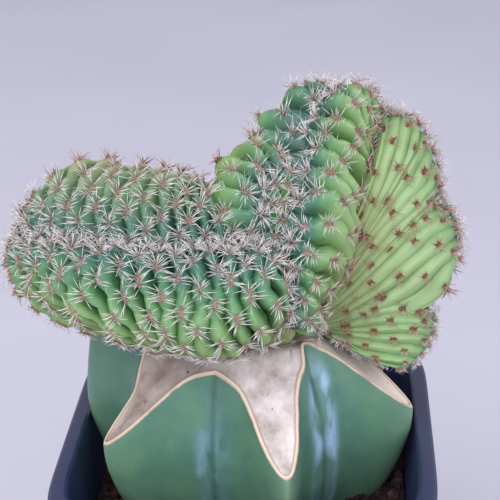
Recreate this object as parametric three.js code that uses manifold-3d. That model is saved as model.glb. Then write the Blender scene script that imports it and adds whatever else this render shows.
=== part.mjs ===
// A crested cactus grafted on a ribbed rootstock, growing in a square nursery pot.
// Millimetres, +Z up. The origin is the middle of the pot's underside, and -Y is the front.
// The crest is one solid: fan-shaped folds on one neck, fused where they meet, with their
// ribs and tubercles raised by formula and their spines rooted in the areoles.
import * as THREE from "three";
import { mergeVertices } from "three/addons/utils/BufferGeometryUtils.js";
import Module from "manifold-3d";

const wasm = await Module();
wasm.setup();

// Pot: a tapered square shell with rounded corners and a thick lip
const POT = {
  height: 70,
  lipHalf: 37.5,
  lipWidth: 3.5,
  lipDepth: 6.5,
  baseHalf: 27,
  wall: 1.3,
  floor: 1.8,
  edge: 0.6,
  squareness: 7.8,
  columns: 32,
  drainRadius: 3,
  drainOffset: 17,
};

// Soil: fills the pot to well under the lip, with a crumbly top
const SOIL = { top: 55, lump: 0.8, rings: 7, clearance: 0.3 };

// Rootstock: ribs like blades round a slim core, cut flat on top, each rib bevelled off.
// The dried cut faces are dished, and the skin stands up round them as a thin lip.
const STOCK = {
  axis: [1, 1],
  foot: 36,
  top: 92,
  plateau: 13,
  lipHeight: 0.6,
  lipWidth: 0.9,
  dish: 0.5,
  fit: 0.3,
};

// One entry for each rib: where it points (degrees from the front, to the right), its reach
// from the axis, the height of its bevel's tip, and the core's radius in the groove after it.
// The right-hand rib was cut straight across (level) and is fuller on its far side (thin is
// how sharply a rib narrows to its ridge).
const RIBS = [
  { turn: -98, reach: 35.7, tip: 88, groove: 25.5 },
  { turn: -57.5, reach: 33.9, tip: 74.5, groove: 19.6 },
  { turn: 14.5, reach: 32.4, tip: 74.4, groove: 19.2 },
  { turn: 86.5, reach: 32.8, tip: 74.2, groove: 19.5, level: 1, thin: 2.2 },
  { turn: 145, reach: 33, tip: 77, groove: 19.5 },
  { turn: 203.5, reach: 33.5, tip: 80, groove: 20 },
];

// How a rib's ridge and a groove run up the stem: heights, and shares of reach and of core
const RUN_HEIGHTS = [36, 44, 50, 55, 60, 66, 72, 80, 86, 92];
const RIDGE_RUN = [0.3, 0.5, 0.67, 0.8, 0.88, 0.955, 1, 0.985, 0.96, 0.93];
const GROOVE_RUN = [0.45, 0.7, 0.83, 0.9, 0.96, 0.99, 1, 0.95, 0.9, 0.8];

// Where columns of the skin stand between a ridge (0) and the groove beside it (1), and how
// sharply a rib narrows to its ridge
const RIB_SHARES = [0, 0.09, 0.2, 0.34, 0.52, 0.75];
const THIN = 4.5;

// Folds of the crest. Each is a thick fan that spreads from its roots to its growing edge.
// Stations along that edge give its place, then for the front and the back of the fan how
// far the flesh swells from the sheet between roots and edge, and how far it rises past it.
// The right-hand lobe is two of them: its head, and the fan that its flesh runs into.
const FOLDS = {
  left: {
    roots: [[-6, -3, 93], [0, -3, 93]],
    ribs: 24,
    tubercles: 6,
    ease: 1.5,
    head: 0.35,
    relief: [1.4, 1.1],
    stations: [
      { edge: [-10, 8, 97], front: 5, frontRise: 0, back: 7, backRise: 0 },
      { edge: [-26, 13, 104], front: 9, frontRise: 0, back: 9, backRise: 2 },
      { edge: [-38.8, 9, 110], front: 9.5, frontRise: 1, back: 8.5, backRise: 3 },
      { edge: [-42.6, -3.5, 113], front: 9.5, frontRise: 1, back: 11, backRise: 4 },
      { edge: [-36, -11.5, 116], front: 10, frontRise: 2, back: 17, backRise: 8 },
      { edge: [-26.5, -15, 116], front: 12, frontRise: 2, back: 18, backRise: 6.5 },
      { edge: [-17, -16.5, 115.5], front: 13, frontRise: 2, back: 19, backRise: 5 },
      { edge: [-8, -17, 115.3], front: 13.5, frontRise: 2, back: 18, backRise: 5 },
      { edge: [0, -14.5, 115], front: 12, frontRise: 2, back: 15, backRise: 7 },
      { edge: [5.5, -9, 112], front: 9, frontRise: 1, back: 9, backRise: 1 },
      { edge: [5, -4, 98], front: 5, frontRise: 0, back: 5, backRise: 0 },
    ],
  },
  middle: {
    roots: [[4, -3, 96], [4, 1, 96]],
    ribs: 10,
    tubercles: 4,
    ease: 1.3,
    head: 0.35,
    relief: [1.5, 1.8],
    stations: [
      { edge: [5, -10, 106], front: 4, frontRise: 0, back: 6, backRise: 0 },
      { edge: [5, -12, 115], front: 5, frontRise: 0, back: 8, backRise: 3 },
      { edge: [4.2, -9.5, 121.7], front: 5, frontRise: 0, back: 9, backRise: 5 },
      { edge: [5.8, -6.5, 125.2], front: 5, frontRise: 0, back: 10, backRise: 6 },
      { edge: [8.8, -3.5, 126.2], front: 4, frontRise: 0, back: 10.5, backRise: 6 },
      { edge: [11, -0.5, 119], front: 3, frontRise: 0, back: 6, backRise: 0 },
    ],
  },
  head: {
    roots: [
      [12, -6, 93], [14.5, -3, 100], [19.4, -1, 103.5], [22.4, 0, 112.4],
      [24.4, 2, 121.5], [25.5, 4, 127.5], [27, 5, 129.5], [28, 5, 127],
    ],
    ribs: 15,
    tubercles: 4,
    ease: 1.3,
    head: 0.5,
    relief: [1.4, 1.3],
    stations: [
      { edge: [9, -14, 99], front: 3, frontRise: 0, back: 3, backRise: 0 },
      { edge: [9.5, -14.5, 110], front: 4.5, frontRise: 0, back: 5, backRise: 0 },
      { edge: [11.3, -10.5, 118.7], front: 5.5, frontRise: 0, back: 8, backRise: 2 },
      { edge: [12.4, -3.5, 126.4], front: 6, frontRise: 0, back: 10.5, backRise: 5 },
      { edge: [13.4, 3.5, 132.5], front: 6.5, frontRise: 0, back: 9.5, backRise: 9.5 },
      { edge: [18.2, 9, 136.8], front: 6.5, frontRise: 0.5, back: 5.2, backRise: 8.5 },
      { edge: [22.4, 11, 135.4], front: 3, frontRise: 0, back: 4.5, backRise: 6 },
      { edge: [25.3, 10, 130.8], front: 2.5, frontRise: 0, back: 4, backRise: 2 },
    ],
  },
  fan: {
    roots: [[11, -5, 93], [13, -1, 93]],
    ribs: 25,
    tubercles: 6,
    ease: 1.4,
    head: 0.6,
    relief: [0.9, 1.1],
    stations: [
      { edge: [21, 6, 127.2], front: 7, frontRise: 0, back: 5, backRise: 0 },
      { edge: [24, 10, 131.6], front: 8, frontRise: 2, back: 6, backRise: 0 },
      { edge: [29.5, 12, 132], front: 9, frontRise: 3, back: 6, backRise: 0 },
      { edge: [34.3, 12, 128.6], front: 9, frontRise: 3, back: 7, backRise: 0 },
      { edge: [37.2, 10, 123], front: 8, frontRise: 2, back: 8, backRise: 0 },
      { edge: [38, 8, 116.6], front: 8, frontRise: 1, back: 8, backRise: 1 },
      { edge: [41.1, 6, 111.8], front: 8, frontRise: 1, back: 8, backRise: 1 },
      { edge: [41, 5, 107.2], front: 8, frontRise: 1, back: 8, backRise: 0 },
      { edge: [38, 5, 102.6], front: 8, frontRise: 0, back: 8, backRise: 1 },
      { edge: [35.6, 3, 99.3], front: 7, frontRise: 0, back: 7, backRise: 1 },
      { edge: [37, 1, 92.2], front: 7, frontRise: 1, back: 7, backRise: 1 },
      { edge: [34.7, -1, 87], front: 6, frontRise: 1, back: 7, backRise: 1 },
      { edge: [30, -2, 84.4], front: 6, frontRise: 0, back: 7, backRise: 1 },
      { edge: [20, -2, 88.2], front: 4, frontRise: 0, back: 5, backRise: 0 },
    ],
  },
};

// A rib rises by this share of its width at most, and each half of it is at least this wide
const RELIEF_SHARE = 0.33;
const MIN_HALF_RIB = 0.25;

// Neck of the crest, ribbed too, which stands on the rootstock's flat top
const NECK = { foot: 11.5, swell: 13.5, height: 21, ribs: 15, groove: 1.1, fit: 0.35 };

// Spines: slim three-sided needles, two to an areole, on one areole in so many
const SPINE = { length: 3.6, spread: 0.9, base: 0.36, sunk: 0.7, lean: 0.75, apart: 0.17, every: 4 };

const COLOURS = {
  pot: { color: 0x23263a, roughness: 0.5, metalness: 0 },
  soil: { color: 0x33271f, roughness: 0.95, metalness: 0 },
  rootstock: { color: 0x4b7a62, roughness: 0.45, metalness: 0 },
  crest: { color: 0x5f8f4a, roughness: 0.6, metalness: 0 },
};

const { clamp, lerp, degToRad } = THREE.MathUtils;
const vec = (x, y, z) => new THREE.Vector3(x, y, z);

// A number from 0 to 1 drawn from a seed, always the same for the same seed
const draw = (seed) => Math.abs(Math.sin(seed * 12.9898 + 4.1) * 43758.5453) % 1;

// A closed solid over rings of points that run anticlockwise seen from the last ring's end.
// The first and the last ring are single points.
function skin(rings) {
  const places = rings.flat().flatMap((p) => [p.x, p.y, p.z]);
  const faces = [];
  let start = 0;
  for (let i = 0; i + 1 < rings.length; i++) {
    const [here, above] = [rings[i].length, rings[i + 1].length];
    const columns = Math.max(here, above);
    for (let k = 0; k < columns; k++) {
      const next = (k + 1) % columns;
      const [a, b] = here > 1 ? [start + k, start + next] : [start, start];
      const top = start + here;
      const [d, c] = above > 1 ? [top + k, top + next] : [top, top];
      if (here > 1) faces.push(a, b, c);
      if (above > 1) faces.push(a, c, d);
    }
    start += here;
  }
  return new THREE.BufferGeometry()
    .setAttribute("position", new THREE.Float32BufferAttribute(places, 3))
    .setIndex(faces);
}

function solidOf(geometry) {
  const bare = geometry.clone();
  bare.deleteAttribute("normal");
  bare.deleteAttribute("uv");
  const merged = mergeVertices(bare, 1e-5);
  const vertProperties = merged.attributes.position.array;
  const triVerts = new Uint32Array(merged.index.array);
  return new wasm.Manifold(new wasm.Mesh({ numProp: 3, vertProperties, triVerts }));
}

function geometryOf(solid) {
  const { vertProperties, triVerts } = solid.getMesh();
  return new THREE.BufferGeometry()
    .setAttribute("position", new THREE.BufferAttribute(vertProperties, 3))
    .setIndex(new THREE.BufferAttribute(triVerts, 1));
}

// A smooth line through evenly spaced values, read at t from 0 to 1
function smoothLine(values, t) {
  const last = values.length - 1;
  const i = Math.min(Math.floor(clamp(t, 0, 1) * last), last - 1);
  const s = clamp(t, 0, 1) * last - i;
  const [a, b, c, d] = [i - 1, i, i + 1, i + 2].map((k) => values[clamp(k, 0, last)]);
  const bend = 2 * a - 5 * b + 4 * c - d + s * (3 * (b - c) + d - a);
  return b + 0.5 * s * (c - a + s * bend);
}

// The share at a height in one of the rootstock's runs
function runAt(run, z) {
  const i = clamp(RUN_HEIGHTS.findIndex((height) => height >= z), 1, run.length - 1);
  const [below, above] = [RUN_HEIGHTS[i - 1], RUN_HEIGHTS[i]];
  return lerp(run[i - 1], run[i], clamp((z - below) / (above - below), 0, 1));
}

// Pot

const potInside = (z) => lerp(POT.baseHalf - POT.wall, POT.lipHalf - POT.lipWidth, z / POT.height);

function squareRing(half, z) {
  const side = (c) => half * Math.sign(c) * Math.abs(c) ** (2 / POT.squareness);
  return Array.from({ length: POT.columns }, (_, k) => {
    const angle = (2 * Math.PI * k) / POT.columns;
    return vec(side(Math.cos(angle)), side(Math.sin(angle)), z);
  });
}

function drainHole(corner) {
  const drain = new THREE.CylinderGeometry(POT.drainRadius, POT.drainRadius, 4 * POT.floor, 16);
  const across = corner % 2 ? POT.drainOffset : -POT.drainOffset;
  const along = corner < 2 ? POT.drainOffset : -POT.drainOffset;
  return solidOf(drain.rotateX(Math.PI / 2).translate(across, along, 0));
}

function pot() {
  const { height, lipHalf, lipDepth, baseHalf, wall, floor, edge } = POT;
  const underLip = height - lipDepth;
  const profile = [
    [baseHalf - edge, 0],
    [baseHalf, edge],
    [potInside(underLip) + wall, underLip],
    [lipHalf - edge, underLip],
    [lipHalf, underLip + edge],
    [lipHalf, height - edge],
    [lipHalf - edge, height],
    [potInside(height) + edge, height],
    [potInside(height), height - edge],
    [potInside(floor), floor],
  ];
  const rings = profile.map(([half, z]) => squareRing(half, z));
  const shell = solidOf(skin([[vec(0, 0, 0)], ...rings, [vec(0, 0, floor)]]));
  return geometryOf(shell.subtract(wasm.Manifold.union([0, 1, 2, 3].map(drainHole))));
}

// Rootstock

// The columns of its skin, right round: the rib each belongs to, its share of the way to the
// groove, the direction it stands in and the core's radius there
function stockColumns() {
  return RIBS.flatMap((rib, i) => {
    const before = RIBS.at(i - 1);
    const after = RIBS[(i + 1) % RIBS.length];
    const halfBefore = ((rib.turn - before.turn + 360) % 360) / 2;
    const halfAfter = ((after.turn - rib.turn + 360) % 360) / 2;
    const left = RIB_SHARES.slice(1).reverse().map((share) => [-share, halfBefore, before.groove]);
    const right = [...RIB_SHARES, 1].map((share) => [share, halfAfter, rib.groove]);
    return [...left, ...right].map(([share, half, groove]) => {
      const thin = (share > 0 && rib.thin) || THIN;
      return { rib, share: Math.abs(share), turn: degToRad(rib.turn + share * half), groove, thin };
    });
  });
}

function stockRadius({ rib, share, groove, thin }, z) {
  const ridge = rib.reach * runAt(RIDGE_RUN, z);
  const core = groove * runAt(GROOVE_RUN, z);
  const blade = ((1 + Math.cos(Math.PI * share)) / 2) ** thin;
  return core + (ridge - core) * (0.75 * blade + 0.25 * (1 - share) ** 1.2);
}

// Height of the cut at a column, at a distance from the axis: level in the middle, then down
// to the tip
function cutHeight({ rib, turn }, radius) {
  const slope = (STOCK.top - rib.tip) / (rib.reach - STOCK.plateau);
  const along = rib.level ? radius * Math.cos(turn - degToRad(rib.turn)) : radius;
  return STOCK.top - slope * Math.max(0, along - STOCK.plateau);
}

// Height at which a column's skin meets the cut
function rimHeight(column) {
  let [low, high] = [SOIL.top, STOCK.top];
  for (let i = 0; i < 30; i++) {
    const z = (low + high) / 2;
    if (z < cutHeight(column, stockRadius(column, z))) low = z;
    else high = z;
  }
  return low;
}

function rootstock(grow = 0) {
  const [x, y] = STOCK.axis;
  const columns = stockColumns().map((column) => ({ ...column, rim: rimHeight(column) }));
  const place = (turn, radius, z) => vec(x + radius * Math.sin(turn), y - radius * Math.cos(turn), z);
  const side = (height) =>
    columns.map((column) => {
      const z = lerp(STOCK.foot, column.rim, height);
      return place(column.turn, stockRadius(column, z) + grow, z);
    });
  const rim = (rise) =>
    columns.map((column) => {
      return place(column.turn, stockRadius(column, column.rim) + grow, column.rim + rise + grow);
    });
  const inside = (margin, rise) =>
    rim(0).map((point, k, ring) => {
      const run = ring[(k + 1) % ring.length].clone().sub(ring.at(k - 1));
      const inwards = vec(-run.y, run.x, 0).normalize();
      const { rib, turn, rim: height, share } = columns[k];
      const radius = stockRadius(columns[k], height);
      const halfWidth = share ? radius * Math.abs(Math.sin(turn - degToRad(rib.turn))) : margin * 2;
      point.addScaledVector(inwards, Math.min(margin, 0.55 * halfWidth) + 2 * grow);
      return point.setZ(cutHeight(columns[k], Math.hypot(point.x - x, point.y - y)) + rise + grow);
    });
  const plateau = columns.map(({ turn }) => place(turn, STOCK.plateau * 0.95, STOCK.top + grow));
  return skin([
    [vec(x, y, STOCK.foot - grow)],
    ...[0, 0.15, 0.3, 0.42, 0.54, 0.66, 0.78, 0.9, 1].map(side),
    rim(STOCK.lipHeight),
    inside(STOCK.lipWidth, STOCK.lipHeight * 0.5),
    inside(STOCK.lipWidth * 1.7, -STOCK.dish),
    plateau,
    [vec(x, y, STOCK.top + grow)],
  ]);
}

// Soil

function soil() {
  const { top, lump, rings, clearance } = SOIL;
  const wide = (z) => potInside(z) - clearance;
  const rise = ({ x, y }) => lump * Math.sin(0.9 * x + 0.4 * y) * Math.sin(0.8 * y - 0.3 * x);
  const surface = Array.from({ length: rings - 1 }, (_, i) => {
    const ring = squareRing(wide(top) * (1 - (i + 1) / rings), top);
    return ring.map((point) => point.setZ(top + rise(point)));
  });
  const bottom = [[vec(0, 0, POT.floor)], squareRing(wide(POT.floor), POT.floor)];
  const body = skin([...bottom, squareRing(wide(top), top), ...surface, [vec(0, 0, top)]]);
  return geometryOf(solidOf(body).subtract(solidOf(rootstock(STOCK.fit))));
}

// Crest

// The sheet of a fold at u along its growing edge: root, direction and length up to the edge,
// direction out of its front side, and the stations' values there
function sheetAt(fold, u) {
  const read = (pick, t = u) => smoothLine(fold.stations.map(pick), t);
  const edgeAt = (t) => vec(...[0, 1, 2].map((axis) => read(({ edge }) => edge[axis], t)));
  const root = vec(...[0, 1, 2].map((axis) => smoothLine(fold.roots.map((r) => r[axis]), u)));
  const up = edgeAt(u).sub(root);
  const length = up.length();
  up.normalize();
  const run = edgeAt(Math.min(1, u + 0.01)).sub(edgeAt(Math.max(0, u - 0.01)));
  const out = run.cross(up).normalize();
  const front = { swell: read((s) => s.front), rise: read((s) => s.frontRise) };
  const back = { swell: read((s) => s.back), rise: read((s) => s.backRise) };
  return { root, up, out, length, front, back };
}

// A point of a fold's plain form: around runs from 0 at the edge to 1 at the root, on the
// front (side 1) or on the back (side -1)
function fleshPoint(fold, u, around, side) {
  const { root, up, out, length, front, back } = sheetAt(fold, u);
  const { swell, rise } = side > 0 ? front : back;
  const angle = Math.PI * around;
  const [across, top] = [Math.sin(angle), 1 + Math.cos(angle)];
  return root
    .addScaledVector(up, (length * top) / 2 + rise * across * top * 0.77)
    .addScaledVector(out, side * swell * across * (1 + fold.head * Math.cos(angle)));
}

// A point on the ridge of a rib, raised by the rib and its tubercles, with the direction out
// of the skin there and the direction along the growing edge. Ribs and tubercles count from 0.
function ridgePoint(fold, rib, tubercle, side, aside = 0) {
  const u = (rib + 0.5 + aside) / fold.ribs;
  const around = aroundAt(fold, tubercle);
  const place = fleshPoint(fold, u, around, side);
  const down = fleshPoint(fold, u, Math.min(1, around + 0.01), side).sub(
    fleshPoint(fold, u, Math.max(0, around - 0.01), side),
  );
  const { up, out } = sheetAt(fold, u);
  const along = up.clone().cross(out);
  const normal = along.clone().cross(down).multiplyScalar(-side).normalize();
  const nextRib = fleshPoint(fold, Math.min(1, u + 1 / fold.ribs), around, side);
  const room = RELIEF_SHARE * nextRib.distanceTo(place);
  const fade = clamp(0.2 + tubercle / 2.5, 0, 1) * clamp((fold.tubercles - tubercle) / 3, 0, 1);
  const bump = Math.abs(Math.sin(Math.PI * (tubercle + (rib % 2) / 2)));
  const height = Math.min(fold.relief[side > 0 ? 0 : 1] * fade, room) * (0.9 + 0.7 * bump);
  return { place: place.addScaledVector(normal, height * (1 - 2 * Math.abs(aside))), normal, along };
}

const aroundAt = (fold, tubercle) => (tubercle / fold.tubercles) ** fold.ease;

// One rib: a slice of its fold between two grooves, highest along its ridge. Where the ribs
// of a hollow bend crowd together the slices run into each other, so each keeps some width.
function ribSolid(fold, rib) {
  const half = Array.from({ length: fold.tubercles * 2 }, (_, i) => i / 2);
  const rows = [
    ...half.map((row) => ({ row, side: 1 })),
    ...half.map((row) => ({ row: fold.tubercles - row, side: -1 })),
  ];
  const ridge = rows.map(({ row, side }) => ridgePoint(fold, rib, row, side));
  const groove = (after) =>
    rows.map(({ row, side }, k) => {
      const point = fleshPoint(fold, (rib + after) / fold.ribs, aroundAt(fold, row), side);
      const ahead = point.clone().sub(ridge[k].place).dot(ridge[k].along) * (after ? 1 : -1);
      const short = Math.max(0, MIN_HALF_RIB - ahead);
      return point.addScaledVector(ridge[k].along, after ? short : -short);
    });
  const middle = (ring) => [ring.reduce((a, b) => a.clone().add(b)).divideScalar(ring.length)];
  const [before, after] = [groove(0), groove(1)];
  return solidOf(skin([middle(before), before, ridge.map(({ place }) => place), after, middle(after)]));
}

// A needle from a point of the skin, leaning from its normal
function needle(place, direction, length) {
  const spine = new THREE.ConeGeometry(SPINE.base, length + SPINE.sunk, 3, 1);
  spine.translate(0, (length + SPINE.sunk) / 2 - SPINE.sunk, 0);
  spine.applyQuaternion(new THREE.Quaternion().setFromUnitVectors(vec(0, 1, 0), direction));
  return solidOf(spine.translate(place.x, place.y, place.z));
}

// Two needles, leaning apart along the edge, on one areole in SPINE.every
function foldSpines(fold) {
  const spines = [];
  let count = 0;
  for (const side of [1, -1]) {
    for (let rib = 0; rib < fold.ribs; rib++) {
      for (let row = 1; row < fold.tubercles - 1; row++) {
        if (count++ % SPINE.every) continue;
        const areole = row + (rib % 2 ? 0.1 : 0.6);
        for (const lean of [-1, 1]) {
          const { place, normal, along } = ridgePoint(fold, rib, areole, side, lean * SPINE.apart);
          const tilt = lean * SPINE.lean * (0.7 + 0.6 * draw(count * 2 + lean));
          const direction = normal.clone().addScaledVector(along, tilt).normalize();
          spines.push(needle(place, direction, SPINE.length + SPINE.spread * (draw(count) - 0.5)));
        }
      }
    }
  }
  return spines;
}

function neck() {
  const { foot, swell, height, ribs, groove } = NECK;
  const run = [[foot, 0], [swell, 0.15], [swell * 0.97, 0.35], [swell * 0.8, 0.6], [swell * 0.45, 0.85]];
  const [x, y] = STOCK.axis;
  const rings = run.map(([radius, share]) =>
    Array.from({ length: 2 * ribs }, (_, k) => {
      const angle = (Math.PI * k) / ribs;
      const reach = radius - (k % 2) * groove;
      return vec(x + reach * Math.cos(angle), y + reach * Math.sin(angle), STOCK.top + height * share);
    }),
  );
  return solidOf(skin([[vec(x, y, STOCK.top)], ...rings, [vec(x, y, STOCK.top + height)]]));
}

function crest() {
  const folds = Object.values(FOLDS);
  const ribs = folds.flatMap((fold) => Array.from({ length: fold.ribs }, (_, i) => ribSolid(fold, i)));
  const grown = wasm.Manifold.union([...ribs, ...folds.flatMap(foldSpines)]);
  const clear = grown.subtract(solidOf(rootstock(NECK.fit)));
  const pieces = clear.add(neck()).decompose();
  return geometryOf(pieces.reduce((a, b) => (b.volume() > a.volume() ? b : a)));
}

const geometries = { pot: pot(), soil: soil(), rootstock: rootstock(), crest: crest() };
const plant = new THREE.Group();
for (const [name, geometry] of Object.entries(geometries)) {
  const mesh = new THREE.Mesh(geometry, new THREE.MeshStandardMaterial(COLOURS[name]));
  mesh.name = name;
  plant.add(mesh);
}

export default plant;
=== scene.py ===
# A crested cactus grafted on a ribbed stock, in a square plastic nursery pot. The sections follow
# it as it is put together: pot, potting mix, stock, crest, then the areoles and spines.
import math

import bpy
import numpy as np
from mathutils import Matrix, Vector
from mathutils.bvhtree import BVHTree


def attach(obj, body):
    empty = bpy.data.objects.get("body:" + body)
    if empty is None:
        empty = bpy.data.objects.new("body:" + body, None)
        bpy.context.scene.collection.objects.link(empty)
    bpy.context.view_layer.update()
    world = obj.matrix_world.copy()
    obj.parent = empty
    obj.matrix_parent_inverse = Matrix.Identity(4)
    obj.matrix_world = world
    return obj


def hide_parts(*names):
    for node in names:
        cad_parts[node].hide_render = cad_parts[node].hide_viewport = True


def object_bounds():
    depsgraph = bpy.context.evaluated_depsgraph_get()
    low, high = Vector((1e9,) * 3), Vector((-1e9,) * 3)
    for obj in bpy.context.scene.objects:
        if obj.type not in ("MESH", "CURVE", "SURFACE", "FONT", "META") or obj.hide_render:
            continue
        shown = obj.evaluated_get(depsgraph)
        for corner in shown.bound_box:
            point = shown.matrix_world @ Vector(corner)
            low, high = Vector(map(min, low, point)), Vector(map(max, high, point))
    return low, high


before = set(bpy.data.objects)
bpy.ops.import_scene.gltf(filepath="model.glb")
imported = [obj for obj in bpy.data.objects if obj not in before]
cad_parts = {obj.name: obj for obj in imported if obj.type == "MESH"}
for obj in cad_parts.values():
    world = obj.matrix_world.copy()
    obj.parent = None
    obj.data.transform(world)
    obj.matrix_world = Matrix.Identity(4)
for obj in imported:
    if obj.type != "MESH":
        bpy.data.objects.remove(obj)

cad_box = [list(corner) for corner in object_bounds()]
scene = bpy.context.scene

# Camera: a long lens from the front, a little to the right and looking 22 degrees down.
# Its right, up and backward directions are the columns of its rotation.
bpy.ops.object.select_all(action="DESELECT")
bpy.ops.object.camera_add(location=(0.020851, -0.278289, 0.222643))
camera = bpy.context.object
camera.rotation_euler = Matrix((
    (0.997893, 0.007669, 0.064424),
    (0.056716, 0.379074, -0.923626),
    (-0.031505, 0.925334, 0.377841),
)).to_euler()
camera.data.sensor_width = 36
camera.data.lens = 110.34
camera.data.clip_start = 0.01
scene.camera = camera

# Studio: a pale floor that runs on behind the plant, a wide soft light from the upper left,
# a weaker one from the right, and an even, slightly cool sky.
scene.view_settings.view_transform = "Standard"
MM = 0.001


def paint(colour):
    """An sRGB hex colour as the linear colour that a socket takes."""
    parts = [int(colour[i:i + 2], 16) / 255 for i in (1, 3, 5)]
    return [p / 12.92 if p <= 0.04045 else ((p + 0.055) / 1.055) ** 2.4 for p in parts] + [1.0]


def add_node(tree, kind, values={}, links={}, stops=(), **settings):
    """A shader node with its settings, socket values, links into it and, on a ramp, its stops."""
    node = tree.nodes.new("ShaderNode" + kind)
    for name, value in settings.items():
        setattr(node, name, value)
    for socket, value in values.items():
        node.inputs[socket].default_value = value
    for socket, source in links.items():
        tree.links.new(source, node.inputs[socket])
    for _ in stops[2:]:
        node.color_ramp.elements.new(1.0)
    for i, (position, colour) in enumerate(stops):
        node.color_ramp.elements[i].position = position
        node.color_ramp.elements[i].color = paint(colour)
    return node


def start_material(name):
    """A new material with its nodes cleared, and its tree."""
    material = bpy.data.materials.new(name)
    material.use_nodes = True
    material.node_tree.nodes.clear()
    return material, material.node_tree


for spot, size, power, colour in (
    ((-0.34, -0.62, 0.74), 0.9, 8.4, "#fbfaff"),
    ((0.48, -0.56, 0.32), 0.7, 3.9, "#eef0ff"),
):
    bpy.ops.object.light_add(type="AREA", location=spot)
    lamp = bpy.context.object
    lamp.data.size = size
    lamp.data.energy = power
    lamp.data.color = paint(colour)[:3]
    away = Vector(spot) - Vector((0, 0, 0.1))
    lamp.rotation_euler = away.to_track_quat("Z", "Y").to_euler()

world = bpy.data.worlds.new("even_sky")
world.use_nodes = True
world.node_tree.nodes["Background"].inputs["Color"].default_value = paint("#dcdce8")
world.node_tree.nodes["Background"].inputs["Strength"].default_value = 0.86
scene.world = world

bpy.ops.object.select_all(action="DESELECT")
bpy.ops.mesh.primitive_plane_add(size=6, location=(0, 0, 0))
floor = bpy.context.object
floor.name = "studio_floor"
# Matt lacquered board: even and pale, with a faint cloudiness
board, tree = start_material("matt lacquered board")
place = add_node(tree, "TexCoord")
# clouds some 17 cm across
cloud = add_node(tree, "TexNoise", {"Scale": 6.0, "Detail": 2.0},
                 {"Vector": place.outputs["Object"]})
tone = add_node(tree, "ValToRGB", links={"Fac": cloud.outputs["Fac"]},
                stops=((0.3, "#cbc9d5"), (0.7, "#d2d1dc")))
coat = add_node(tree, "BsdfPrincipled", {"Roughness": 0.75}, {"Base Color": tone.outputs["Color"]})
add_node(tree, "OutputMaterial", links={"Surface": coat.outputs["BSDF"]})
floor.data.materials.append(board)

# Pot: a square nursery pot with rounded corners, 75 mm over its thick lip and 70 mm high,
# injection moulded in one shot of navy polypropylene. It tapers, so that pots stack.
POT_HEIGHT, POT_LIP, LIP_WIDTH, LIP_DEPTH = 70 * MM, 37.5 * MM, 3.5 * MM, 6.5 * MM
POT_BASE, POT_WALL, POT_FLOOR, POT_EDGE = 27 * MM, 1.3 * MM, 1.8 * MM, 0.6 * MM
SQUARENESS, POT_COLUMNS, FIT = 7.8, 128, 0.3 * MM
DRAIN_RADIUS, DRAIN_OFFSET = 3 * MM, 17 * MM


def square_ring(half, z):
    """A ring of points round a square with rounded corners."""
    turn = np.arange(POT_COLUMNS) * 2 * math.pi / POT_COLUMNS
    x, y = (half * np.sign(c) * np.abs(c) ** (2 / SQUARENESS) for c in (np.cos(turn), np.sin(turn)))
    return np.stack([x, y, np.full(POT_COLUMNS, z)], 1)


def pot_inside(z):
    """Half the pot's inner width at a height."""
    return POT_BASE - POT_WALL + (POT_LIP - LIP_WIDTH - POT_BASE + POT_WALL) * z / POT_HEIGHT


bpy.ops.object.select_all(action="DESELECT")
bpy.ops.mesh.primitive_circle_add(vertices=POT_COLUMNS, radius=1, fill_type="NGON")
pot = bpy.context.object
pot.name = "pot_shell"
under_lip = POT_HEIGHT - LIP_DEPTH
pot_profile = [
    (POT_BASE - POT_EDGE, 0),
    (POT_BASE, POT_EDGE),
    (pot_inside(under_lip) + POT_WALL, under_lip),
    (POT_LIP - POT_EDGE, under_lip),
    (POT_LIP, under_lip + POT_EDGE),
    (POT_LIP, POT_HEIGHT - POT_EDGE),
    (POT_LIP - POT_EDGE, POT_HEIGHT),
    (pot_inside(POT_HEIGHT) + POT_EDGE, POT_HEIGHT),
    (pot_inside(POT_HEIGHT), POT_HEIGHT - POT_EDGE),
    (pot_inside(POT_FLOOR), POT_FLOOR),
]
half, height = pot_profile[0]
for vertex, point in zip(pot.data.vertices, square_ring(half, height)):
    vertex.co = point
bpy.ops.object.mode_set(mode="EDIT")
bpy.ops.mesh.select_all(action="SELECT")
for next_half, next_height in pot_profile[1:]:
    bpy.ops.mesh.extrude_region_move(TRANSFORM_OT_translate={"value": (0, 0, next_height - height)})
    share = next_half / half
    bpy.ops.transform.resize(value=(share, share, 1), center_override=(0, 0, next_height))
    half, height = next_half, next_height
bpy.ops.mesh.select_all(action="SELECT")
bpy.ops.mesh.normals_make_consistent(inside=False)
bpy.ops.object.mode_set(mode="OBJECT")

# its four drain holes, 6 mm wide
for across in (-DRAIN_OFFSET, DRAIN_OFFSET):
    for along in (-DRAIN_OFFSET, DRAIN_OFFSET):
        bpy.ops.mesh.primitive_cylinder_add(vertices=32, radius=DRAIN_RADIUS, depth=8 * MM,
                                            location=(across, along, 0))
        drain = bpy.context.object
        bpy.ops.object.select_all(action="DESELECT")
        pot.select_set(True)
        bpy.context.view_layer.objects.active = pot
        cut = pot.modifiers.new("drain", "BOOLEAN")
        cut.object, cut.solver = drain, "EXACT"
        bpy.ops.object.modifier_apply(modifier="drain")
        bpy.data.objects.remove(drain)
soften = pot.modifiers.new("soften", "BEVEL")
soften.width, soften.segments, soften.limit_method = 0.28 * MM, 2, "ANGLE"
soften.angle_limit = math.radians(28)
bpy.ops.object.modifier_apply(modifier="soften")
bpy.ops.object.shade_smooth_by_angle(angle=math.radians(40))

# Injection moulded polypropylene: waxy half gloss, a fine sparked grain, and dusty scuffs
plastic, tree = start_material("injection moulded polypropylene")
place = add_node(tree, "TexCoord")
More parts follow.
